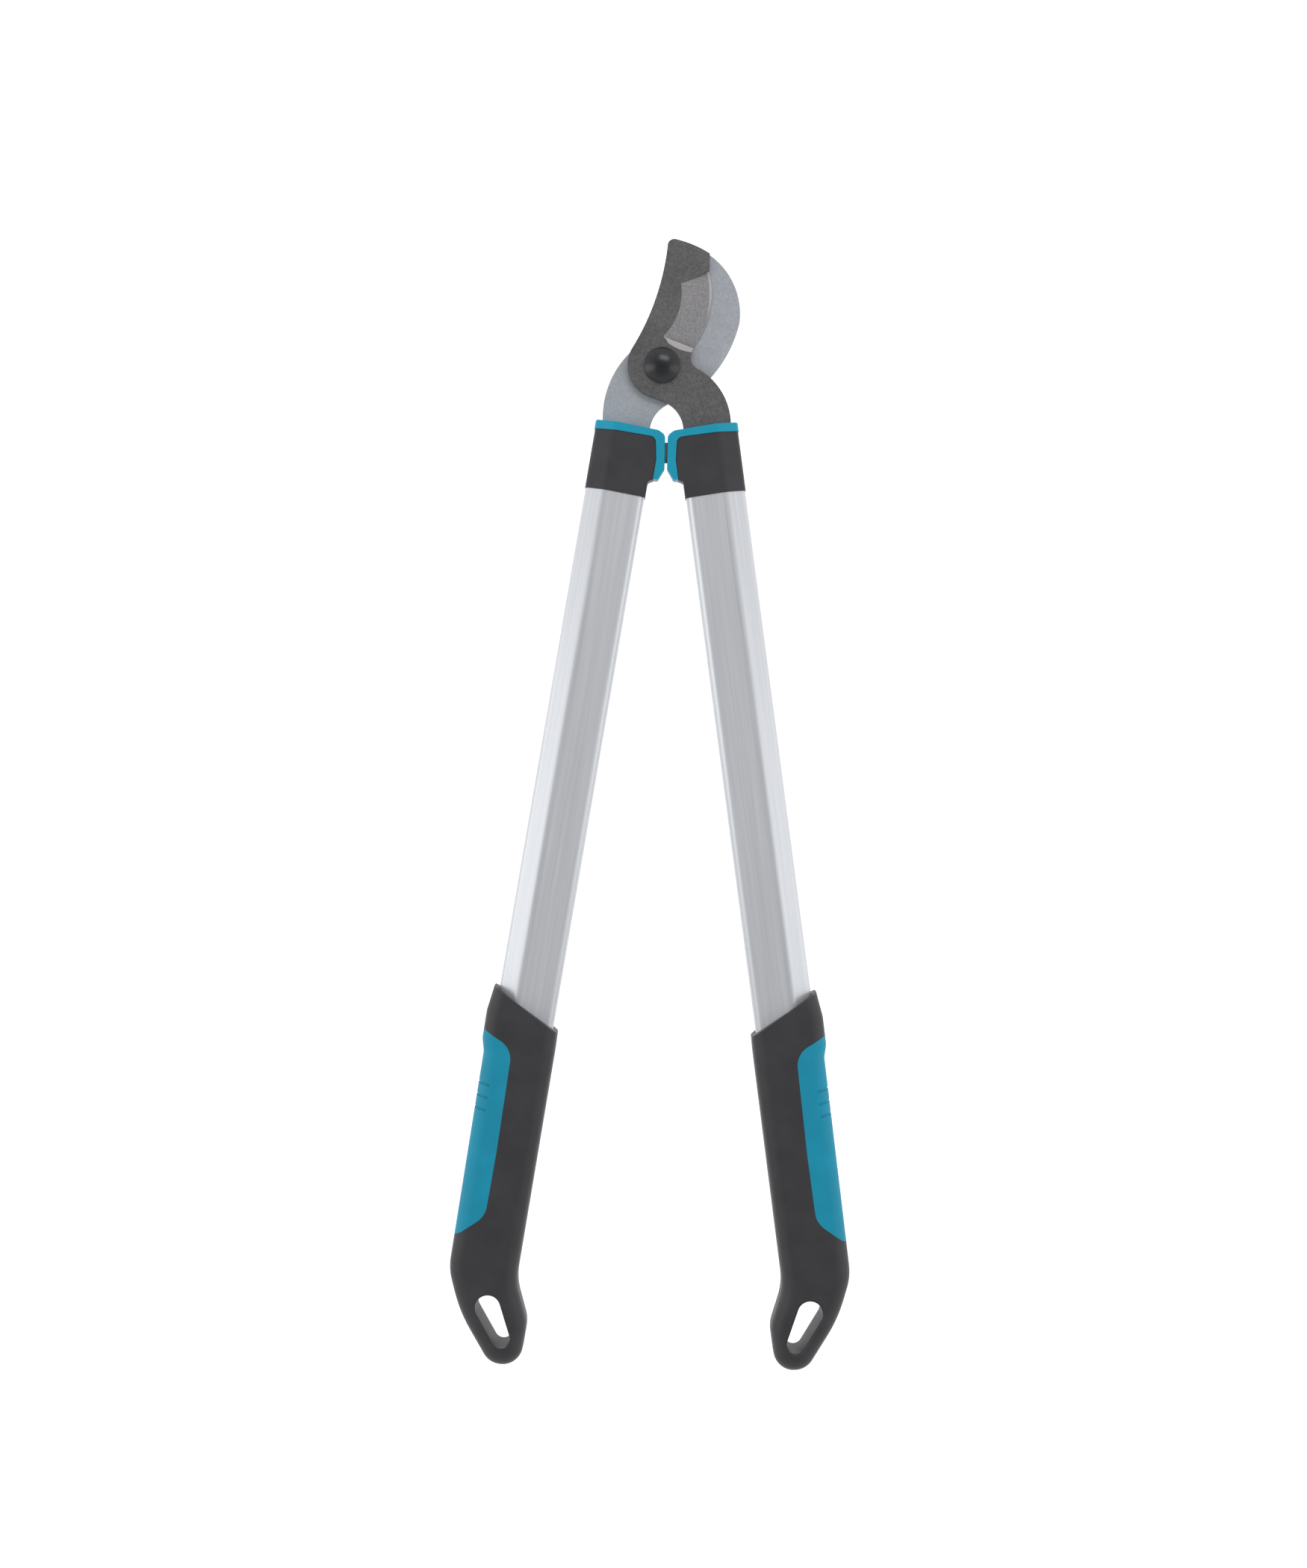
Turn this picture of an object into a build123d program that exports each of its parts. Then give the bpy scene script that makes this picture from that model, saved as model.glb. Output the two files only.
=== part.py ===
from build123d import *
from math import cos, radians, sin
import os

# Bypass loppers, lying flat with the front face up, in millimetres.
# The origin is on the pivot axis, in the plane that the loppers rest on.
# +Z points out of the front face, +Y along the middle of the handles towards the blade tips.
# Every piece of a handle is placed by (u, s): u outward from the handle's axis, s down along it.

# Handles
BISECTOR_X = 3.5             # the two handles mirror each other about this line
HANDLE_OFFSET = 18.7         # handle axis from the bisector, level with the pivot
HANDLE_ANGLE = 8.6           # handle axis against the bisector, closed

# Blades
BLADE_THICKNESS = 4.0
BLADE_GAP = 0.05             # running gap between the two blades
BEVEL_CENTRE = (-26.0, 43.5)  # the grind and the cutting edge are arcs about this point
BEVEL_INNER_RADIUS = 37.0
EDGE_RADIUS = 55.3
EDGE_LAND = 1.5              # width of the steeper honed strip
EDGE_THICKNESS = 0.4

# Tangs, inside the handles
TANG_TOP_S = 37.0            # where the tang enters the trim
TANG_WIDE_END_S = 62.0
TANG_NARROW_S = 70.0
TANG_END_S = 114.0
TANG_OUTER_U = 14.7
TANG_INNER_U = -14.2
TANG_NARROW_OUTER_U = 10.0
TANG_NARROW_INNER_U = -8.0
TANG_CLEARANCE = 0.1

# Pivot
SHANK_RADIUS = 5.0
BUSH_RADIUS = 6.5
BUSH_RUNNING_CLEARANCE = 0.05
SHANK_CLEARANCE = 0.05
BUSH_PROUD = 0.05            # the bush stands this far above the blade, so the bolt clamps it alone
HEAD_RADIUS = 10.75
HEAD_EDGE = 1.2
HEAD_DOME = 4.6
WASHER_RADIUS = 10.5
WASHER_THICKNESS = 1.5
NUT_ACROSS_FLATS = 17.0

# Tubes: drop-shaped section, crest nearer the outer edge
TUBE_HALF_WIDTH = 18.0
TUBE_OUTER_HALF_HEIGHT = 5.2
TUBE_CREST_U = 6.0
TUBE_CREST_HALF_HEIGHT = 11.0
TUBE_INNER_HALF_HEIGHT = 5.8
TUBE_WALL = 1.5
TUBE_TOP_S = 78.4
TUBE_END_S = 528.0
TUBE_CLEARANCE = 0.1

# Collars, trims and bumpers
COLLAR_PROUD = 0.4           # collar surface above the tube's
TRIM_TOP_S = 37.0
TRIM_BAND = 4.8              # trim's depth along the handle, at its top
SEAT_INNER_U = -21.3         # boundary between collar and trim on the inner side
SEAT_END_S = 67.0
SPIGOT_LENGTH = 40.0
SPIGOT_WALL = 2.0
TRIM_FACE_GAP = 0.75         # trim from the bisector, closed
BUMPER_TOP_Y = -46.5
BUMPER_BOTTOM_Y = -58.5
BUMPER_HEIGHT = 8.0
BUMPER_DEPTH = 3.0           # sunk into the trim
BUMPER_FACE_GAP = 0.03       # bumper from the bisector, closed

# Tang cores and rivets
CORE_CLEARANCE = 0.05
CORE_TOP_S = 72.0
RIVET_RADIUS = 2.5
RIVET_HALF_LENGTH = 5.4
RIVET_TOP_S = 84.0
RIVET_PITCH = 20.0

# Grips and pads
GRIP_HALF_THICKNESS = 15.0
GRIP_DATUM_S = 528.0         # where the tube's end comes in the grip's own (u, s) drawing
GRIP_EDGE_ROUND = 9.0
GRIP_TOP_S = 394.6           # slanted top edge, where it crosses the handle's axis
GRIP_TOP_SLANT = 0.52        # lower on the inner side, per millimetre of u
PAD_THICKNESS = 1.2
GROOVE_DEPTH = 0.6
GROOVE_WIDTH = 1.6
GROOVE_TOP_S = 440.0
GROOVE_PITCH = 7.5
GROOVE_COUNT = 3
PLUG_LENGTH = 14.0
PLUG_FLANGE = 2.0
HANG_HOLE_TOP = (-7.9, 574.4)
HANG_HOLE_TOP_RADIUS = 7.6
HANG_HOLE_END = (-19.0, 591.6)
HANG_HOLE_END_RADIUS = 5.4
HANG_HOLE_RIM = 1.2          # flare at both rims

os.makedirs("parts", exist_ok=True)

MID_Z = GRIP_HALF_THICKNESS  # handles' middle plane: the grips' flat backs lie at z = 0
counter_bottom = MID_Z - BLADE_THICKNESS
cutting_bottom = MID_Z + BLADE_GAP
cutting_top = cutting_bottom + BLADE_THICKNESS
head_seat = cutting_top + BUSH_PROUD
head_top = head_seat + HEAD_EDGE + HEAD_DOME
washer_bottom = counter_bottom - WASHER_THICKNESS
collar_top_s = TRIM_TOP_S + TRIM_BAND
spigot_end_s = TUBE_TOP_S + SPIGOT_LENGTH
core_end_s = spigot_end_s - 2.0


def outward(side):
    return (side * cos(radians(HANDLE_ANGLE)), sin(radians(HANDLE_ANGLE)), 0)


def downward(side):
    return (side * sin(radians(HANDLE_ANGLE)), -cos(radians(HANDLE_ANGLE)), 0)


def handle_point(side, u, s):
    """Point in the object's plan, at u outward and s down the handle on that side."""
    x = BISECTOR_X + side * (HANDLE_OFFSET + u * cos(radians(HANDLE_ANGLE)) + s * sin(radians(HANDLE_ANGLE)))
    y = u * sin(radians(HANDLE_ANGLE)) - s * cos(radians(HANDLE_ANGLE))
    return (x, y)


def plan_points(side, points):
    return [handle_point(side, u, s) for u, s in points]


def grip_points(side, points):
    """Points of the grip's own drawing, moved along the handle with the tube's end."""
    return plan_points(side, [(u, s + TUBE_END_S - GRIP_DATUM_S) for u, s in points])


def across(side, s):
    """Plane square to the handle at s, with x outward and y up."""
    x, y = handle_point(side, 0, s)
    down = Vector(*downward(side)) * side
    return Plane(origin=(x, y, MID_Z), x_dir=outward(side), z_dir=down)


def drop_section(grow=0.0, inner_u=-TUBE_HALF_WIDTH):
    """Corners of the tube's section, grown outward; a lower inner_u runs its slopes further in."""
    slope = (TUBE_CREST_HALF_HEIGHT - TUBE_INNER_HALF_HEIGHT) / (TUBE_CREST_U + TUBE_HALF_WIDTH)
    inner_half = TUBE_INNER_HALF_HEIGHT - slope * (-TUBE_HALF_WIDTH - inner_u) + grow
    upper = [
        (TUBE_HALF_WIDTH + grow, TUBE_OUTER_HALF_HEIGHT + grow / 2),
        (TUBE_CREST_U, TUBE_CREST_HALF_HEIGHT + grow),
        (inner_u - grow, inner_half),
    ]
    return upper + [(u, -z) for u, z in reversed(upper)]


def both_halves(radii):
    return radii + radii[::-1]


def tang_outline(side, offset=0.0, end=0.0):
    """Tang corners from its outer entry to its inner entry, grown by offset."""
    return plan_points(side, [
        (TANG_OUTER_U + offset, TANG_TOP_S),
        (TANG_OUTER_U - 1.0 + offset, TANG_WIDE_END_S),
        (TANG_NARROW_OUTER_U + offset, TANG_NARROW_S),
        (TANG_NARROW_OUTER_U + offset, TANG_END_S + end),
        (TANG_NARROW_INNER_U - offset, TANG_END_S + end),
        (TANG_NARROW_INNER_U - offset, TANG_NARROW_S),
        (TANG_INNER_U + 1.0 - offset, TANG_WIDE_END_S),
        (TANG_INNER_U - offset, TANG_TOP_S),
    ])


def grip_outline():
    """Grip corners (u, s) and their rounding, down the outer side and up the inner one."""
    return [
        ((-19.2, 360.0), 12.0),
        ((18.0, 360.0), 12.0),
        ((23.2, 399.0), 20.0),
        ((23.0, 416.0), 12.0),
        ((20.9, 423.5), 12.0),
        ((19.4, 556.5), 35.0),
        ((8.5, 581.0), 90.0),
        ((-14.2, 608.5), 12.5),
        ((-32.6, 607.2), 12.0),
        ((-32.6, 580.5), 20.0),
        ((-21.9, 557.5), 38.0),
        ((-21.4, 415.0), 200.0),
    ]


# ---- Sections across a handle, one inside the other ----

section_rounds = both_halves([4.0, 7.0, 4.5])

with BuildSketch() as tube_section:
    with BuildLine():
        FilletPolyline(*drop_section(), radius=section_rounds, close=True)
    make_face()

with BuildSketch() as tube_bore:
    add(tube_section.sketch)
    offset(amount=-TUBE_WALL, mode=Mode.REPLACE)

with BuildSketch() as spigot_section:
    add(tube_bore.sketch)
    offset(amount=-TUBE_CLEARANCE, mode=Mode.REPLACE)

with BuildSketch() as spigot_bore:
    add(spigot_section.sketch)
    offset(amount=-SPIGOT_WALL, mode=Mode.REPLACE)

with BuildSketch() as core_section:
    add(spigot_bore.sketch)
    offset(amount=-CORE_CLEARANCE, mode=Mode.REPLACE)

with BuildSketch() as grip_bore:
    add(tube_section.sketch)
    offset(amount=TUBE_CLEARANCE, mode=Mode.REPLACE)

# ---- Cutting blade: convex edge, on the right handle, in front ----

cutting_tip = (1.9, 71.9)
cutting_top_start = (7.4, 76.2)
cutting_shoulder = (27.5, 68.1)
edge_start = (28.7, 51.6)
edge_end = (18.6, 10.9)

with BuildPart() as bevel:
    with BuildSketch(Plane(origin=(*BEVEL_CENTRE, cutting_top), x_dir=(1, 0, 0), z_dir=(0, -1, 0))):
        land_radius = EDGE_RADIUS - EDGE_LAND
        land_depth = 0.62 * BLADE_THICKNESS
        edge_depth = BLADE_THICKNESS - EDGE_THICKNESS
        with BuildLine():
            Polyline(
                (BEVEL_INNER_RADIUS, 0),
                (land_radius, -land_depth),
                (EDGE_RADIUS, -edge_depth),
                (EDGE_RADIUS + 3, -edge_depth),
                (EDGE_RADIUS + 3, 1),
                (BEVEL_INNER_RADIUS, 1),
                close=True,
            )
        make_face()
    revolve(axis=Axis((*BEVEL_CENTRE, 0), (0, 0, 1)))
    with BuildSketch(Plane.XY.offset(cutting_bottom - 1)):
        with BuildLine():
            Polyline((10.4, 49.6), (34.0, 61.0), (34.0, 4.6), (18.5, 10.4), (0.7, 17.2), (4.0, 36.0), close=True)
        make_face()
    extrude(amount=BLADE_THICKNESS + 3, mode=Mode.INTERSECT)

with BuildPart() as cutting_blade:
    with BuildSketch(Plane.XY.offset(cutting_bottom)):
        with BuildLine():
            ThreePointArc(cutting_tip, (3.3, 75.4), cutting_top_start)
            ThreePointArc(cutting_top_start, (18.2, 72.8), cutting_shoulder)
            Line(cutting_shoulder, (27.5, 55.6))
            Line((27.5, 55.6), edge_start)
            ThreePointArc(edge_start, (28.6, 34.5), edge_end)
            Line(edge_end, (17.1, 5.9))
            ThreePointArc((17.1, 5.9), (18.3, 1.2), (23.2, -2.6))
            ThreePointArc((23.2, -2.6), (35.6, -14.2), tang_outline(1)[0])
            Polyline(*tang_outline(1))
            ThreePointArc(tang_outline(1)[-1], (10.6, -29.2), (3.7, -22.9))
            ThreePointArc((3.7, -22.9), (-1.5, -20.6), (-7.8, -18.5))
            ThreePointArc((-7.8, -18.5), (-20.5, -3.0), (-18.5, 9.6))
            ThreePointArc((-18.5, 9.6), (-5.5, 37.7), cutting_tip)
        make_face()
    extrude(amount=BLADE_THICKNESS)
    with Locations((0, 0, cutting_bottom)):
        Cylinder(BUSH_RADIUS + BUSH_RUNNING_CLEARANCE, 3 * BLADE_THICKNESS, mode=Mode.SUBTRACT)
    with Locations(*[(*handle_point(1, 1.0, RIVET_TOP_S + i * RIVET_PITCH), MID_Z) for i in range(2)]):
        Cylinder(RIVET_RADIUS, 40, mode=Mode.SUBTRACT)
    add(bevel.part, mode=Mode.SUBTRACT)
cutting_blade.part.label = "cutting_blade"
export_step(cutting_blade.part, "parts/cutting_blade.step")

# ---- Counter blade: hook with a concave inner edge, on the left handle, behind ----

hook_tip = (20.5, 71.7)
hook_throat = (11.2, 17.4)

with BuildPart() as counter_blade:
    with BuildSketch(Plane.XY.offset(counter_bottom)):
        with BuildLine():
            ThreePointArc(hook_tip, (24.1, 70.1), cutting_shoulder)
            ThreePointArc(cutting_shoulder, (42.4, 50.8), (46.4, 27.1))
            ThreePointArc((46.4, 27.1), (40.4, 10.1), (29.0, -6.9))
            ThreePointArc((29.0, -6.9), (18.0, -17.0), (3.7, -22.9))
            ThreePointArc((3.7, -22.9), (-3.5, -29.3), tang_outline(-1)[-1])
            Polyline(*tang_outline(-1))
            ThreePointArc(tang_outline(-1)[0], (-31.8, -11.0), (-19.9, 7.7))
            ThreePointArc((-19.9, 7.7), (-8.0, 19.3), hook_throat)
            ThreePointArc(hook_throat, (23.2, 42.0), hook_tip)
        make_face()
    extrude(amount=BLADE_THICKNESS)
    with Locations((0, 0, counter_bottom)):
        Cylinder(SHANK_RADIUS + SHANK_CLEARANCE, 3 * BLADE_THICKNESS, mode=Mode.SUBTRACT)
    with Locations(*[(*handle_point(-1, 1.0, RIVET_TOP_S + i * RIVET_PITCH), MID_Z) for i in range(2)]):
        Cylinder(RIVET_RADIUS, 40, mode=Mode.SUBTRACT)
counter_blade.part.label = "counter_blade"
export_step(counter_blade.part, "parts/counter_blade.step")

# ---- Pivot: dome-headed bolt, bush in the cutting blade, washer and locking nut behind ----

with BuildPart() as pivot_bolt:
    with BuildSketch(Plane.XZ):
        with BuildLine():
            Line((0, 0), (SHANK_RADIUS, 0))
            Line((SHANK_RADIUS, 0), (SHANK_RADIUS, head_seat))
            Line((SHANK_RADIUS, head_seat), (HEAD_RADIUS, head_seat))
            Line((HEAD_RADIUS, head_seat), (HEAD_RADIUS, head_seat + HEAD_EDGE))
            TangentArc((0, head_top), (HEAD_RADIUS, head_seat + HEAD_EDGE), tangent=(1, 0))
            Line((0, head_top), (0, 0))
        make_face()
    revolve(axis=Axis.Z)
pivot_bolt.part.label = "pivot_bolt"
export_step(pivot_bolt.part, "parts/pivot_bolt.step")

with BuildPart() as pivot_bush:
    with BuildSketch(Plane.XY.offset(MID_Z)):
        Circle(BUSH_RADIUS)
        Circle(SHANK_RADIUS + SHANK_CLEARANCE, mode=Mode.SUBTRACT)
    extrude(amount=head_seat - MID_Z)
pivot_bush.part.label = "pivot_bush"
export_step(pivot_bush.part, "parts/pivot_bush.step")

with BuildPart() as pivot_washer:
    with BuildSketch(Plane.XY.offset(washer_bottom)):
        Circle(WASHER_RADIUS)
        Circle(SHANK_RADIUS + SHANK_CLEARANCE, mode=Mode.SUBTRACT)
    extrude(amount=WASHER_THICKNESS)
pivot_washer.part.label = "pivot_washer"
export_step(pivot_washer.part, "parts/pivot_washer.step")

with BuildPart() as pivot_nut:
    with BuildSketch():
        RegularPolygon(NUT_ACROSS_FLATS / 2, 6, major_radius=False)
        Circle(SHANK_RADIUS + SHANK_CLEARANCE, mode=Mode.SUBTRACT)
    extrude(amount=washer_bottom)
pivot_nut.part.label = "pivot_nut"
export_step(pivot_nut.part, "parts/pivot_nut.step")

# ---- Handles: the right one carries the cutting blade, the left one the counter blade ----

for side, hand, tang_bottom in ((1, "right", cutting_bottom), (-1, "left", counter_bottom)):

    # Tang rivets, through the tang and both halves of its core
    with BuildPart() as rivets:
        for i in range(2):
            x, y = handle_point(side, 1.0, RIVET_TOP_S + i * RIVET_PITCH)
            with BuildSketch(Plane.XY.offset(MID_Z - RIVET_HALF_LENGTH)):
                with Locations((x, y)):
                    Circle(RIVET_RADIUS)
            extrude(amount=2 * RIVET_HALF_LENGTH)
    rivets.part.label = hand + "_tang_rivets"
    export_step(rivets.part, "parts/" + hand + "_tang_rivets.step")

    # Tang cores: plastic halves that fill the spigot in front of the tang and behind it
    for half, low, high in (
        ("front", tang_bottom + BLADE_THICKNESS, MID_Z + TUBE_CREST_HALF_HEIGHT),
        ("rear", MID_Z - TUBE_CREST_HALF_HEIGHT, tang_bottom),
    ):
        with BuildPart() as core:
            with BuildSketch(across(side, CORE_TOP_S)):
                add(core_section.sketch)
            extrude(amount=side * (core_end_s - CORE_TOP_S))
            with BuildSketch(Plane.XY.offset(low)):
                with BuildLine():
                    Polyline(*plan_points(side, [(-30, 60), (30, 60), (30, 130), (-30, 130)]), close=True)
                make_face()
            extrude(amount=high - low, mode=Mode.INTERSECT)
            add(rivets.part, mode=Mode.SUBTRACT)
        core.part.label = hand + "_tang_core_" + half
        export_step(core.part, "parts/" + hand + "_tang_core_" + half + ".step")

    # Slot that the tang lies in, cut from the collar and the trim
    with BuildPart() as tang_slot:
        with BuildSketch(Plane.XY.offset(tang_bottom)):
            with BuildLine():
                Polyline(
                    *plan_points(side, [(TANG_OUTER_U + 1.0, TANG_TOP_S - 6)]),
                    *tang_outline(side, TANG_CLEARANCE, end=10.0),
                    *plan_points(side, [(TANG_INNER_U - 1.0, TANG_TOP_S - 6)]),
                    close=True,
                )
            make_face()
        extrude(amount=BLADE_THICKNESS)

    # Collar: sleeve with a seat for the trim on its inner side and a spigot down the tube
    with BuildPart() as collar:
        with BuildSketch(Plane.XY):
            with BuildLine():
                corners = [
                    (TUBE_HALF_WIDTH + COLLAR_PROUD + 2, collar_top_s + 0.6),
                    (SEAT_INNER_U + 2.6, collar_top_s - 0.6),
                    (SEAT_INNER_U, SEAT_END_S - 12),
                    (SEAT_INNER_U, SEAT_END_S),
                    (-TUBE_HALF_WIDTH - COLLAR_PROUD, SEAT_END_S + 1.5),
                    (-TUBE_HALF_WIDTH - COLLAR_PROUD, TUBE_TOP_S),
                    (TUBE_HALF_WIDTH + COLLAR_PROUD + 2, TUBE_TOP_S),
                ]
                FilletPolyline(*plan_points(side, corners), radius=[0, 4.0, 8.0, 0, 2.0, 0, 0], close=True)
            make_face()
        extrude(amount=2 * MID_Z)
        with BuildSketch(across(side, TRIM_TOP_S)):
            with BuildLine():
                FilletPolyline(*drop_section(COLLAR_PROUD, -28.0), radius=section_rounds, close=True)
            make_face()
        extrude(amount=side * (TUBE_TOP_S - TRIM_TOP_S), mode=Mode.INTERSECT)
        with BuildSketch(across(side, TUBE_TOP_S)):
            add(spigot_section.sketch)
        extrude(amount=side * SPIGOT_LENGTH)
        with BuildSketch(across(side, CORE_TOP_S)):
            add(spigot_bore.sketch)
        extrude(amount=side * (spigot_end_s - CORE_TOP_S), mode=Mode.SUBTRACT)
        add(tang_slot.part, mode=Mode.SUBTRACT)
    collar.part.label = hand + "_collar"
    export_step(collar.part, "parts/" + hand + "_collar.step")

    # Bumper: rubber stop, its face on the bisector when the loppers are closed
    bumper_out = TRIM_FACE_GAP - BUMPER_FACE_GAP
    bumper_length = BUMPER_TOP_Y - BUMPER_BOTTOM_Y
    with BuildPart() as bumper:
        with BuildSketch(Plane.YZ.offset(BISECTOR_X + side * BUMPER_FACE_GAP)):
            with Locations(((BUMPER_TOP_Y + BUMPER_BOTTOM_Y) / 2, MID_Z)):
                RectangleRounded(bumper_length, BUMPER_HEIGHT, 2.0)
        extrude(amount=side * (bumper_out + BUMPER_DEPTH))
    bumper.part.label = hand + "_bumper"
    export_step(bumper.part, "parts/" + hand + "_bumper.step")

    # Trim: cap over the collar's top and down its inner side
    face_x = BISECTOR_X + side * TRIM_FACE_GAP
    with BuildPart() as trim_envelope:
        with BuildSketch(across(side, TRIM_TOP_S)):
            with BuildLine():
                slope_points = drop_section(COLLAR_PROUD + 0.5, -29.5)
                FilletPolyline(*slope_points, radius=both_halves([4.0, 7.0, 3.4]), close=True)
            make_face()
        extrude(amount=side * (TUBE_TOP_S - TRIM_TOP_S))
    with BuildPart() as trim:
        with BuildSketch(Plane.XY):
            with BuildLine():
                inner = [(face_x, -42.3), (face_x, -62.4)]
                outline = plan_points(side, [(18.8, TRIM_TOP_S), (-19.8, TRIM_TOP_S)])
                ending = plan_points(side, [(-24.2, 66.4), (-19.0, SEAT_END_S), (-10, SEAT_END_S), (18.8, 60)])
                FilletPolyline(*outline, *inner, *ending, radius=[1.2, 4.0, 4.0, 3.0, 0, 0, 0, 0], close=True)
            make_face()
        extrude(amount=2 * MID_Z)
        add(trim_envelope.part, mode=Mode.INTERSECT)
        with BuildSketch(Plane.XY):
            with BuildLine():
                FilletPolyline(*plan_points(side, corners), radius=[0, 4.0, 8.0, 0, 2.0, 0, 0], close=True)
            make_face()
        extrude(amount=2 * MID_Z, mode=Mode.SUBTRACT)
        add(tang_slot.part, mode=Mode.SUBTRACT)
        add(bumper.part, mode=Mode.SUBTRACT)
    trim.part.label = hand + "_collar_trim"
    export_step(trim.part, "parts/" + hand + "_collar_trim.step")

    # Tube
    with BuildPart() as tube:
        with BuildSketch(across(side, TUBE_TOP_S)):
            add(tube_section.sketch)
            add(tube_bore.sketch, mode=Mode.SUBTRACT)
        extrude(amount=side * (TUBE_END_S - TUBE_TOP_S))
    tube.part.label = hand + "_tube"
    export_step(tube.part, "parts/" + hand + "_tube.step")

    # Plug that closes the tube's end inside the grip
    with BuildPart() as plug:
        with BuildSketch(across(side, TUBE_END_S - PLUG_LENGTH)):
            add(spigot_section.sketch)
        extrude(amount=side * PLUG_LENGTH)
        with BuildSketch(across(side, TUBE_END_S)):
            add(tube_section.sketch)
        extrude(amount=side * PLUG_FLANGE)
    plug.part.label = hand + "_tube_plug"
    export_step(plug.part, "parts/" + hand + "_tube_plug.step")

    # Grip bodies of three sizes: the surface, the groove floor and the pad's bed
    grip_bodies = []
    for depth in (0.0, GROOVE_DEPTH, PAD_THICKNESS):
        with BuildPart() as body:
            with BuildSketch(Plane.XY.offset(MID_Z - GRIP_HALF_THICKNESS + depth)):
                with BuildLine():
                    corner_points = grip_points(side, [point for point, _ in grip_outline()])
                    corner_radii = [radius for _, radius in grip_outline()]
                    FilletPolyline(*corner_points, radius=corner_radii, close=True)
                make_face()
                if depth:
                    offset(amount=-depth, kind=Kind.INTERSECTION, mode=Mode.REPLACE)
            extrude(amount=2 * (GRIP_HALF_THICKNESS - depth))
            flats = body.faces().filter_by(Axis.Z)
            fillet(flats.edges(), radius=GRIP_EDGE_ROUND - depth)
            with BuildSketch(Plane.XY):
                with BuildLine():
                    above = [(-40, 340), (40, 340), (40, GRIP_TOP_S - 40 * GRIP_TOP_SLANT)]
                    slant_end = (-40, GRIP_TOP_S + 40 * GRIP_TOP_SLANT)
                    Polyline(*grip_points(side, above + [slant_end]), close=True)
                make_face()
            extrude(amount=2 * MID_Z, mode=Mode.SUBTRACT)
        grip_bodies.append(body)
    grip_surface, groove_floor, pad_bed = grip_bodies

    # Pad: soft inlay that wraps the grip's outer side, with grooves for the thumb
    with BuildPart() as pad:
        with BuildSketch(Plane.XY):
            with BuildLine():
                boundary = [
                    ((30.0, 407.0), 0),
                    ((3.9, 418.6), 13.0),
                    ((2.6, 480.0), 300.0),
                    ((2.8, 520.5), 14.0),
                    ((17.0, 533.5), 12.0),
                    ((30.0, 540.5), 0),
                ]
                boundary_points = grip_points(side, [point for point, _ in boundary])
                FilletPolyline(*boundary_points, radius=[radius for _, radius in boundary], close=True)
            make_face()
        extrude(amount=2 * MID_Z)
        add(grip_surface.part, mode=Mode.INTERSECT)
        add(pad_bed.part, mode=Mode.SUBTRACT)
    with BuildPart() as grooves:
        for i in range(GROOVE_COUNT):
            s = GROOVE_TOP_S + i * GROOVE_PITCH
            corners = [(13.6, s + 2.0), (30, s - 0.4), (30, s + GROOVE_WIDTH - 0.4), (13.6, s + GROOVE_WIDTH + 2.0)]
            with BuildSketch(Plane.XY):
                with BuildLine():
                    Polyline(*grip_points(side, corners), close=True)
                make_face()
            extrude(amount=2 * MID_Z)
        add(groove_floor.part, mode=Mode.SUBTRACT)
    with BuildPart() as grip:
        add(grip_surface.part)
        add(pad.part, mode=Mode.SUBTRACT)
        with BuildSketch(across(side, TUBE_TOP_S)):
            add(grip_bore.sketch)
        extrude(amount=side * (TUBE_END_S + PLUG_FLANGE - TUBE_TOP_S), mode=Mode.SUBTRACT)
        with BuildSketch(Plane.XY):
            hole_top, hole_end = grip_points(side, [HANG_HOLE_TOP, HANG_HOLE_END])
            with Locations(hole_top):
                Circle(HANG_HOLE_TOP_RADIUS)
            with Locations(hole_end):
                Circle(HANG_HOLE_END_RADIUS)
            make_hull()
        extrude(amount=2 * MID_Z, mode=Mode.SUBTRACT)
        for rim_z, inward in ((MID_Z + GRIP_HALF_THICKNESS, -1), (MID_Z - GRIP_HALF_THICKNESS, 1)):
            with BuildSketch(Plane.XY.offset(rim_z)):
                with Locations(hole_top):
                    Circle(HANG_HOLE_TOP_RADIUS + HANG_HOLE_RIM)
                with Locations(hole_end):
                    Circle(HANG_HOLE_END_RADIUS + HANG_HOLE_RIM)
                make_hull()
            extrude(amount=inward * HANG_HOLE_RIM, taper=45, mode=Mode.SUBTRACT)
    grip.part.label = hand + "_grip"
    export_step(grip.part, "parts/" + hand + "_grip.step")
    with BuildPart() as grooved_pad:
        add(pad.part)
        add(grooves.part, mode=Mode.SUBTRACT)
    grooved_pad.part.label = hand + "_grip_pad"
    export_step(grooved_pad.part, "parts/" + hand + "_grip_pad.step")
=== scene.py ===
import math

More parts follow.
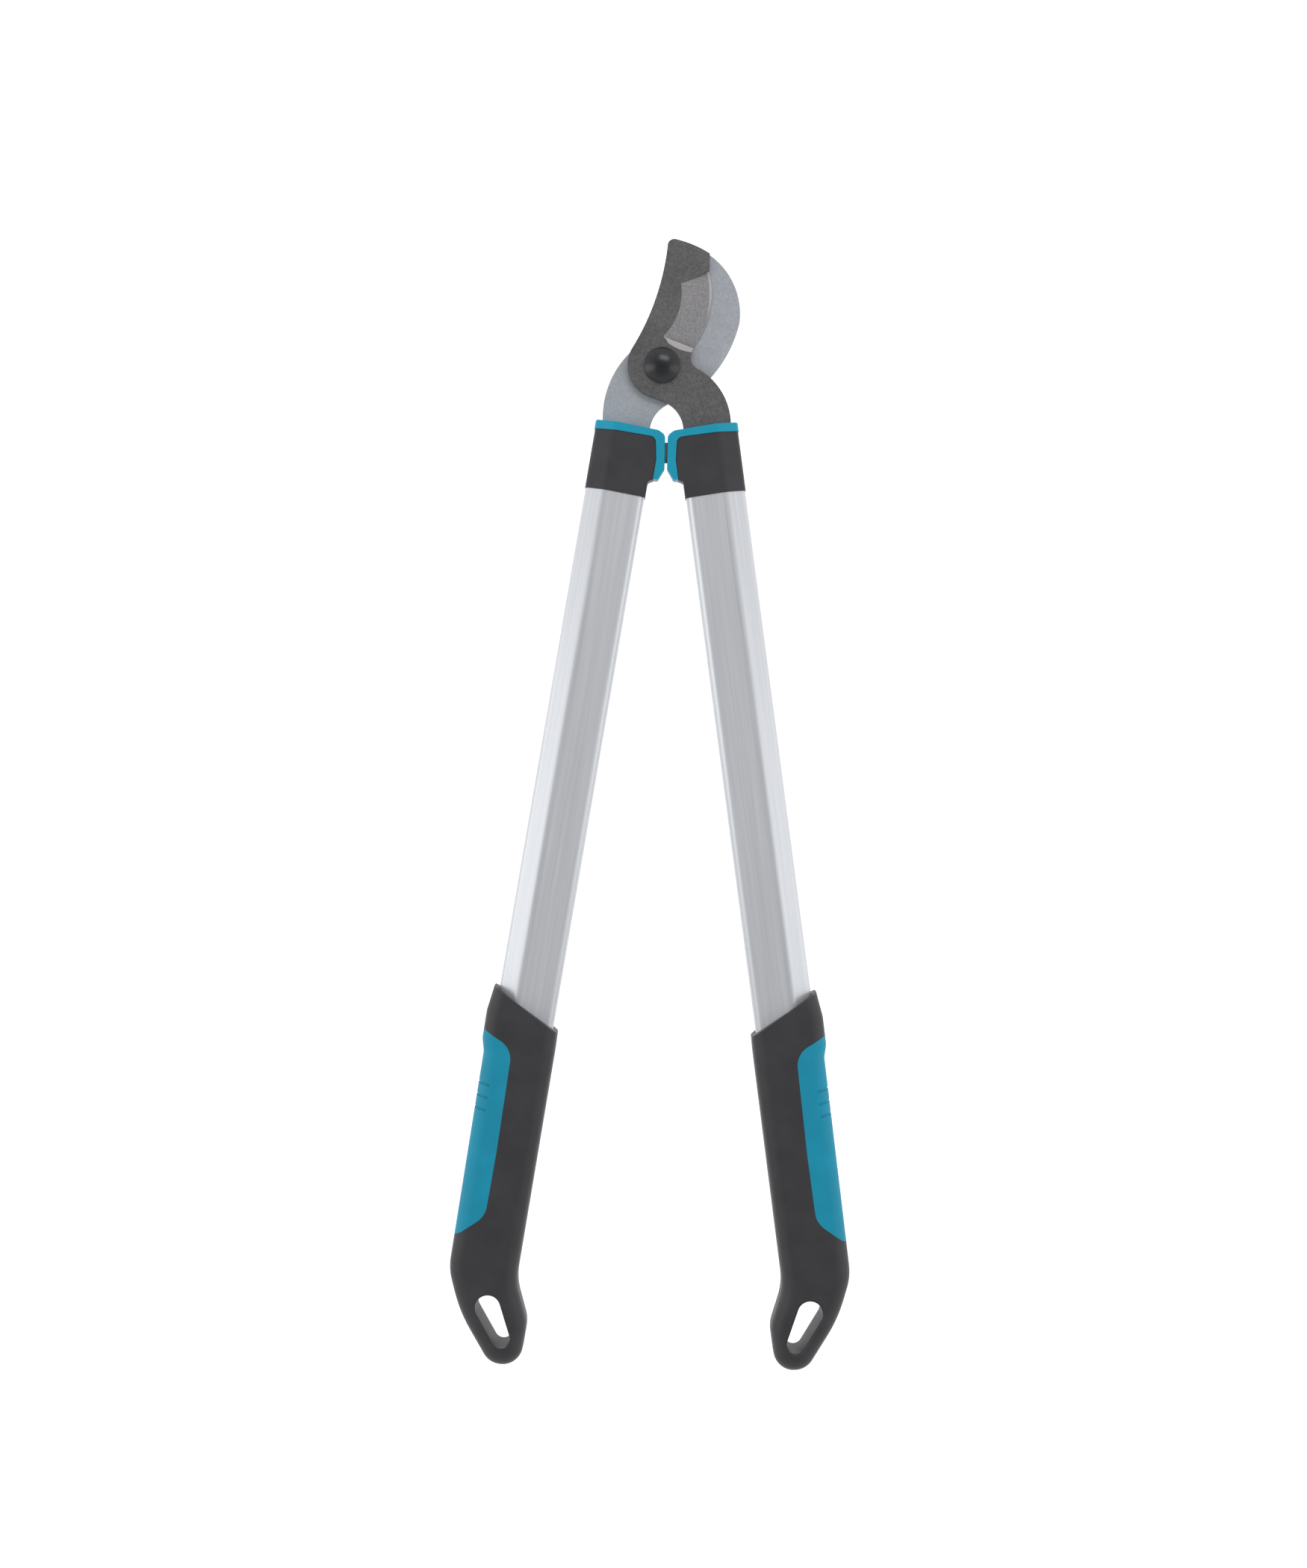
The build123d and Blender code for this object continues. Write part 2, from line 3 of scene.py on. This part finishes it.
import bmesh
import bpy
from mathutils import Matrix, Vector


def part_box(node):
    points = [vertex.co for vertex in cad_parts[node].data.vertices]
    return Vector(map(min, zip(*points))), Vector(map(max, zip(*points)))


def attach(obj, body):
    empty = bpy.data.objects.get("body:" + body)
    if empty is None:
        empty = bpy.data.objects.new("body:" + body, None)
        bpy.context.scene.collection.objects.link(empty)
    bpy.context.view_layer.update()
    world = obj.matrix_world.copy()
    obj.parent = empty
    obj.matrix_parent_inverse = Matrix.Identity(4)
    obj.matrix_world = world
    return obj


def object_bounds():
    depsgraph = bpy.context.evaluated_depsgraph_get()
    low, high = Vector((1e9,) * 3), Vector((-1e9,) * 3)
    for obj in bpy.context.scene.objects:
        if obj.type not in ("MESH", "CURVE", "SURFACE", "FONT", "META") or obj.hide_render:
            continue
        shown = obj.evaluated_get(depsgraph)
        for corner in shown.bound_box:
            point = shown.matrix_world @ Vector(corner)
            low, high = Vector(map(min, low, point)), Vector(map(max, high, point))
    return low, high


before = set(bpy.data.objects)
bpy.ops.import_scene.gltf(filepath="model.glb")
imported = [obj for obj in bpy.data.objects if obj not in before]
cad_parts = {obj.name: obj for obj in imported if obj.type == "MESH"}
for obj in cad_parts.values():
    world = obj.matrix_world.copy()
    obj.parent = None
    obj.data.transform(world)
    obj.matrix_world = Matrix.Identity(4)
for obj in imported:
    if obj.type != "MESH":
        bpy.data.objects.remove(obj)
cad_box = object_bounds()

# ---- Counter blade ----
# The hooked rear blade, stamped from 4 mm steel and left bare with a fine satin finish.
# It is riveted into the left handle, and the pivot bolt goes through it.


def new_material(name):
    """An empty material, with its node tree and its shader."""
    material = bpy.data.materials.new(name)
    material.use_nodes = True
    return material, material.node_tree, material.node_tree.nodes["Principled BSDF"]


def place_on_piece(tree):
    """Where a point lies on the piece, in metres."""
    return tree.nodes.new("ShaderNodeTexCoord").outputs["Object"]


def noise(tree, place, scale, detail):
    """Soft noise, with its scale in waves per metre."""
    texture = tree.nodes.new("ShaderNodeTexNoise")
    texture.inputs["Scale"].default_value = scale
    texture.inputs["Detail"].default_value = detail
    tree.links.new(place, texture.inputs["Vector"])
    return texture.outputs["Fac"]


def two_tone(tree, source, first, last, start=0.3, end=0.7):
    """Colour that turns from the first to the last while the source rises from start to end."""
    ramp = tree.nodes.new("ShaderNodeValToRGB")
    stops = ramp.color_ramp.elements
    stops[0].position = start
    stops[0].color = (*first, 1)
    stops[1].position = end
    stops[1].color = (*last, 1)
    tree.links.new(source, ramp.inputs["Fac"])
    return ramp.outputs["Color"]


def shades_of(colour, contrast):
    """The colour made darker and lighter by a share of itself."""
    return [(1 - contrast) * part for part in colour], [(1 + contrast) * part for part in colour]


def uneven_gloss(tree, shader, source, lowest, highest):
    """Roughness that wanders between two values with the source."""
    gloss = tree.nodes.new("ShaderNodeMapRange")
    gloss.inputs["To Min"].default_value = lowest
    gloss.inputs["To Max"].default_value = highest
    tree.links.new(source, gloss.inputs["Value"])
    tree.links.new(gloss.outputs["Result"], shader.inputs["Roughness"])


def fine_relief(tree, shader, source, strength, depth):
    """Surface relief of a depth in metres, that follows the source."""
    relief = tree.nodes.new("ShaderNodeBump")
    relief.inputs["Strength"].default_value = strength
    relief.inputs["Distance"].default_value = depth
    tree.links.new(source, relief.inputs["Height"])
    tree.links.new(relief.outputs["Normal"], shader.inputs["Normal"])


def satin_steel(name, colour, metallic, roughness, grain_size, grain_depth, contrast=0.15):
    """Steel with a fine blasted grain, faint clouding and uneven gloss."""
    cloud_share = 0.35
    material, tree, shader = new_material(name)
    shader.inputs["Metallic"].default_value = metallic
    place = place_on_piece(tree)
    grain = noise(tree, place, scale=1.0 / grain_size, detail=3.0)
    clouds = noise(tree, place, scale=45.0, detail=4.0)
    shade = tree.nodes.new("ShaderNodeMix")
    shade.data_type = "FLOAT"
    shade.inputs["Factor"].default_value = cloud_share
    tree.links.new(grain, shade.inputs["A"])
    tree.links.new(clouds, shade.inputs["B"])
    dark, light = shades_of(colour, contrast)
    tint = two_tone(tree, shade.outputs["Result"], dark, light)
    tree.links.new(tint, shader.inputs["Base Color"])
    uneven_gloss(tree, shader, clouds, lowest=roughness - 0.06, highest=roughness + 0.08)
    fine_relief(tree, shader, grain, strength=0.35, depth=grain_depth)
    return material


def dress(node, material, broken_edge=0.0):
    """Gives a CAD node its finished material, and breaks its sharp edges by that width."""
    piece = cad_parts[node]
    for index in range(len(piece.data.materials)):
        piece.data.materials[index] = material
    if broken_edge:
        weld = piece.modifiers.new("joined_faces", "WELD")
        weld.merge_threshold = 0.000002
        bevel = piece.modifiers.new("broken_edges", "BEVEL")
        bevel.width = broken_edge
        bevel.segments = 2
        bevel.limit_method = "ANGLE"
        bevel.angle_limit = math.radians(40)
        bevel.use_clamp_overlap = True
        normals = piece.modifiers.new("flat_faces_flat", "WEIGHTED_NORMAL")
        normals.weight = 100


satin_blade = satin_steel(
    "satin_blade_steel", colour=(0.325, 0.345, 0.375), metallic=0.15, roughness=0.42,
    grain_size=0.0013, grain_depth=0.00006,
)
dress("counter_blade", satin_blade, broken_edge=0.0003)

# ---- Cutting blade ----
# The convex front blade, 4 mm steel under a dark non-stick coating with a gritty surface.
# Its ground bevel and the narrow honed strip along the edge are cleaner, lighter metal; the strip's fading
# towards its lower end is painted shade.


def mask_where(tree, source, test, limit):
    """1 where the source passes the test against the limit, and 0 elsewhere."""
    mask = tree.nodes.new("ShaderNodeMath")
    mask.operation = test
    mask.inputs[1].default_value = limit
    tree.links.new(source, mask.inputs[0])
    return mask.outputs["Value"]


def overlap_of(tree, first, second):
    """Where two masks overlap."""
    product = tree.nodes.new("ShaderNodeMath")
    product.operation = "MULTIPLY"
    tree.links.new(first, product.inputs[0])
    tree.links.new(second, product.inputs[1])
    return product.outputs["Value"]


def layer_over(tree, under, mask):
    """A second colour laid over the first where the mask is 1."""
    layer = tree.nodes.new("ShaderNodeMix")
    layer.data_type = "RGBA"
    tree.links.new(mask, layer.inputs["Factor"])
    tree.links.new(under, layer.inputs["A"])
    return layer


def coated_and_ground(name):
    """The coating, changing to ground metal where the surface leans away from the flat face."""
    # The normal's upward part is 1 on the face, about 0.99 on the bevel and 0.8 on the honed strip
    least_on_face = 0.998
    least_on_bevel = 0.93
    least_on_front = 0.3
    # Between these two heights the honed strip fades out downwards as painted shade
    painted_shade_full_below_y = 0.026
    painted_shade_gone_above_y = 0.042
    dark_metal = (0.16, 0.157, 0.16)
    light_metal = (0.27, 0.262, 0.268)
    honed_metal = (0.38, 0.37, 0.375, 1)

    material = satin_steel(
        name, colour=(0.085, 0.082, 0.082), metallic=0.1, roughness=0.5,
        grain_size=0.0014, grain_depth=0.0001, contrast=0.4,
    )
    tree = material.node_tree
    shader = tree.nodes["Principled BSDF"]
    coat_colour = shader.inputs["Base Color"].links[0].from_socket
    place = place_on_piece(tree)
    strokes = noise(tree, place, scale=900.0, detail=4.0)
    metal = two_tone(tree, strokes, dark_metal, light_metal)

    surface = tree.nodes.new("ShaderNodeNewGeometry")
    lean = tree.nodes.new("ShaderNodeSeparateXYZ")
    tree.links.new(surface.outputs["True Normal"], lean.inputs["Vector"])
    upward = lean.outputs["Z"]
    on_front = mask_where(tree, upward, "GREATER_THAN", least_on_front)
    off_face = mask_where(tree, upward, "LESS_THAN", least_on_face)
    with_bevel = layer_over(tree, coat_colour, overlap_of(tree, off_face, on_front))
    tree.links.new(metal, with_bevel.inputs["B"])

    # The honed strip is lighter metal along the edge; towards the lower end it fades out into the bevel as
    # painted shade
    off_bevel = mask_where(tree, upward, "LESS_THAN", least_on_bevel)
    height = tree.nodes.new("ShaderNodeSeparateXYZ")
    tree.links.new(place, height.inputs["Vector"])
    painted_shade_fade = tree.nodes.new("ShaderNodeMapRange")
    painted_shade_fade.inputs["From Min"].default_value = painted_shade_full_below_y
    painted_shade_fade.inputs["From Max"].default_value = painted_shade_gone_above_y
    tree.links.new(height.outputs["Y"], painted_shade_fade.inputs["Value"])
    honed_strip_shaded_below = overlap_of(tree, overlap_of(tree, off_bevel, on_front), painted_shade_fade.outputs["Result"])
    with_shaded_hone = layer_over(tree, with_bevel.outputs["Result"], honed_strip_shaded_below)
    with_shaded_hone.inputs["B"].default_value = honed_metal
    tree.links.new(with_shaded_hone.outputs["Result"], shader.inputs["Base Color"])
    return material


dress("cutting_blade", coated_and_ground("coated_blade"))

# The grinding wheel's run-out is a flat sliver of ground steel between the bevel's lower end and a shallow
# arc, made brighter than the bevel as a painted highlight of the light on the run-out's wall
run_out_start = Vector((0.0007, 0.0172, 0))
run_out_end = Vector((0.0186, 0.0106, 0))
run_out_depth = 0.0036
run_out_least_width = 0.00005
run_out_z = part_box("cutting_blade")[1].z + 0.00003
run_out_steps = 14
# The arc is this stretch of a half wave, and it opens over the first fifth of its length
wave_start = 0.12
wave_length = 0.62
opening_share = 0.2
chord = run_out_end - run_out_start
across_chord = Vector((chord.y, -chord.x, 0)).normalized()
run_out_form = bmesh.new()
straight_side = []
curved_side = []
for step in range(run_out_steps + 1):
    share = step / run_out_steps
    on_line = run_out_start + chord * share
    opening = min(1.0, share / opening_share)
    bulge = run_out_depth * math.sin(math.pi * (wave_start + wave_length * share)) * opening
    on_arc = on_line + across_chord * (bulge + run_out_least_width)
    straight_side.append(run_out_form.verts.new((on_line.x, on_line.y, run_out_z)))
    curved_side.append(run_out_form.verts.new((on_arc.x, on_arc.y, run_out_z)))
for step in range(run_out_steps):
    corners = (straight_side[step], curved_side[step], curved_side[step + 1], straight_side[step + 1])
    run_out_form.faces.new(corners)
run_out_mesh = bpy.data.meshes.new("bevel_run_out")
run_out_form.to_mesh(run_out_mesh)
run_out_form.free()
# This steel is lighter than the bevel's ground metal: a painted highlight standing in for light on the
# run-out
ground_steel_painted_highlight = satin_steel(
    "ground_steel_painted_highlight", colour=(0.42, 0.4, 0.4), metallic=0.3, roughness=0.35,
    grain_size=0.0008, grain_depth=0.00002,
)
run_out_mesh.materials.append(ground_steel_painted_highlight)
run_out = bpy.data.objects.new("bevel_run_out", run_out_mesh)
bpy.context.scene.collection.objects.link(run_out)
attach(run_out, "right_half")

# ---- Pivot ----
# A dome-headed black bolt clamps a steel bush that the cutting blade turns on.
# Behind are a zinc-plated washer and a black locking nut, and zinc-plated rivets hold the tangs.

black_oxide = satin_steel(
    "black_oxide", colour=(0.005, 0.006, 0.008), metallic=0.0, roughness=0.28,
    grain_size=0.002, grain_depth=0.00002,
)
zinc_plate = satin_steel(
    "zinc_plate", colour=(0.5, 0.5, 0.48), metallic=0.8, roughness=0.35,
    grain_size=0.0015, grain_depth=0.00002,
)
for node in ("pivot_bolt", "pivot_nut"):
    dress(node, black_oxide)
for node in ("pivot_bush", "pivot_washer", "left_tang_rivets", "right_tang_rivets"):
    dress(node, zinc_plate)

# ---- Tubes ----
# Drawn aluminium tubes, 36 mm across and satin anodised, with faint die lines down their length.
# Each is pushed over its collar's spigot at the top and into its grip at the bottom.


def anodised_tube(name, side_sign):
    """Aluminium with fine lines drawn along the handle."""
    handle_lean = math.radians(8.6)
    line_stretch = 80.0
    material, tree, shader = new_material(name)
    shader.inputs["Metallic"].default_value = 0.55
    along = tree.nodes.new("ShaderNodeMapping")
    along.vector_type = "TEXTURE"
    along.inputs["Rotation"].default_value = (0, 0, side_sign * handle_lean)
    along.inputs["Scale"].default_value = (1.0, line_stretch, 1.0)
    tree.links.new(place_on_piece(tree), along.inputs["Vector"])
    lines = noise(tree, along.outputs["Vector"], scale=700.0, detail=5.0)
    tint = two_tone(
        tree, lines, first=(0.51, 0.525, 0.55), last=(0.6, 0.615, 0.64), start=0.25, end=0.75
    )
    tree.links.new(tint, shader.inputs["Base Color"])
    uneven_gloss(tree, shader, lines, lowest=0.3, highest=0.42)
    fine_relief(tree, shader, lines, strength=0.25, depth=0.00003)
    return material


dress("right_tube", anodised_tube("anodised_tube_right", 1))
dress("left_tube", anodised_tube("anodised_tube_left", -1))

# ---- Collars, grips and inner plastic ----
# Glass-filled nylon mouldings, charcoal grey, with a fine spark-eroded grain.
# The collars carry the blades' tangs, and the grips are pressed over the tube ends.


def moulded_plastic(name, colour, roughness, grain_size, grain_depth, speck=0.12):
    """Moulded plastic with an eroded grain and slightly uneven gloss."""
    gloss_spread = 0.06
    material, tree, shader = new_material(name)
    shader.inputs["Specular IOR Level"].default_value = 0.3
    place = place_on_piece(tree)
    grain = tree.nodes.new("ShaderNodeTexVoronoi")
    grain.inputs["Scale"].default_value = 1.0 / grain_size
    tree.links.new(place, grain.inputs["Vector"])
    flow = noise(tree, place, scale=60.0, detail=5.0)
    dark, light = shades_of(colour, speck)
    tree.links.new(two_tone(tree, flow, dark, light), shader.inputs["Base Color"])
    uneven_gloss(tree, shader, flow, roughness - gloss_spread, roughness + gloss_spread)
    fine_relief(tree, shader, grain.outputs["Distance"], strength=0.4, depth=grain_depth)
    return material


charcoal_nylon = moulded_plastic(
    "charcoal_nylon", colour=(0.034, 0.033, 0.036), roughness=0.48, grain_size=0.0009, grain_depth=0.00012
)
black_insert = moulded_plastic(
    "black_insert", colour=(0.02, 0.02, 0.02), roughness=0.6, grain_size=0.0012, grain_depth=0.00005
)
for hand in ("left", "right"):
    dress(hand + "_collar", charcoal_nylon, broken_edge=0.0004)
    dress(hand + "_grip", charcoal_nylon, broken_edge=0.0005)
    for part in ("_tang_core_front", "_tang_core_rear", "_tube_plug"):
        dress(hand + part, black_insert)

# ---- Trims, pads and bumpers ----
# Turquoise trims cap the collars, and soft turquoise pads are moulded into the grips.
# Black rubber bumpers in the trims take the shock when the handles close.

turquoise_trim = moulded_plastic(
    "turquoise_trim", colour=(0.002, 0.27, 0.4), roughness=0.42,
    grain_size=0.0007, grain_depth=0.00003, speck=0.06,
)
turquoise_pad = moulded_plastic(
    "turquoise_pad", colour=(0.002, 0.235, 0.36), roughness=0.6,
    grain_size=0.0006, grain_depth=0.00009, speck=0.07,
)
black_rubber = moulded_plastic(
    "black_rubber", colour=(0.012, 0.012, 0.013), roughness=0.75, grain_size=0.0008, grain_depth=0.00008
)
for hand in ("left", "right"):
    dress(hand + "_collar_trim", turquoise_trim, broken_edge=0.0009)
    dress(hand + "_grip_pad", turquoise_pad, broken_edge=0.0002)
    dress(hand + "_bumper", black_rubber)

# ---- Studio ----
# A pale paper floor 120 mm below the loppers, and soft light that is brighter from the sides
# than from overhead. The camera looks straight down at the middle of the tool, slightly turned.

tool_low, tool_high = (Vector(corner) for corner in cad_box)
studio_y = -0.25
floor_drop = 0.12
floor_mesh = bpy.data.meshes.new("floor")
floor_form = bmesh.new()
bmesh.ops.create_grid(floor_form, x_segments=1, y_segments=1, size=4.0)
floor_form.to_mesh(floor_mesh)
floor_form.free()
floor = bpy.data.objects.new("floor", floor_mesh)
floor.location = (0, studio_y, tool_low.z - floor_drop)
bpy.context.scene.collection.objects.link(floor)
pale_paper, paper_tree, paper_shader = new_material("pale_paper")
paper_shader.inputs["Base Color"].default_value = (0.93, 0.93, 0.93, 1)
paper_shader.inputs["Roughness"].default_value = 0.95
paper_shader.inputs["Emission Color"].default_value = (1, 1, 1, 1)
paper_shader.inputs["Emission Strength"].default_value = 0.35
floor_mesh.materials.append(pale_paper)

side_light = (1.0, 1.0, 1.0)
overhead_light = (0.42, 0.42, 0.43)
world = bpy.data.worlds.new("studio")
world.use_nodes = True
sky_tree = world.node_tree
sky = sky_tree.nodes["Background"]
sky.inputs["Strength"].default_value = 1.0
direction = sky_tree.nodes.new("ShaderNodeTexCoord")
upward_part = sky_tree.nodes.new("ShaderNodeSeparateXYZ")
sky_tree.links.new(direction.outputs["Generated"], upward_part.inputs["Vector"])
sky_colour = two_tone(sky_tree, upward_part.outputs["Z"], side_light, overhead_light, start=0.45, end=0.97)
sky_tree.links.new(sky_colour, sky.inputs["Color"])
bpy.context.scene.world = world


def soft_light(name, place, width, height, watts):
    """Rectangular soft box that faces the middle of the studio."""
    lamp = bpy.data.lights.new(name, "AREA")
    lamp.shape = "RECTANGLE"
    lamp.size = width
    lamp.size_y = height
    lamp.energy = watts
    holder = bpy.data.objects.new(name, lamp)
    holder.location = place
    towards_middle = Vector((0, studio_y, 0)) - Vector(place)
    holder.rotation_euler = towards_middle.to_track_quat("-Z", "Y").to_euler()
    bpy.context.scene.collection.objects.link(holder)


soft_light("left_box", (-1.6, -0.2, 0.9), width=0.8, height=1.8, watts=6)
soft_light("right_box", (1.6, -0.2, 0.9), width=0.8, height=1.8, watts=4)
soft_light("head_box", (0.3, 1.3, 1.6), width=1.4, height=0.7, watts=12)

camera_x = -0.0001
camera_y = -0.253
camera_above_middle = 1.4507
camera_turn = math.radians(1.15)
camera_data = bpy.data.cameras.new("camera")
camera_data.lens = 55.0
camera_data.sensor_width = 36.0
camera = bpy.data.objects.new("camera", camera_data)
camera.location = (camera_x, camera_y, tool_high.z / 2 + camera_above_middle)
camera.rotation_euler = (0, 0, camera_turn)
bpy.context.scene.collection.objects.link(camera)
bpy.context.scene.camera = camera
bpy.context.scene.view_settings.view_transform = "Standard"
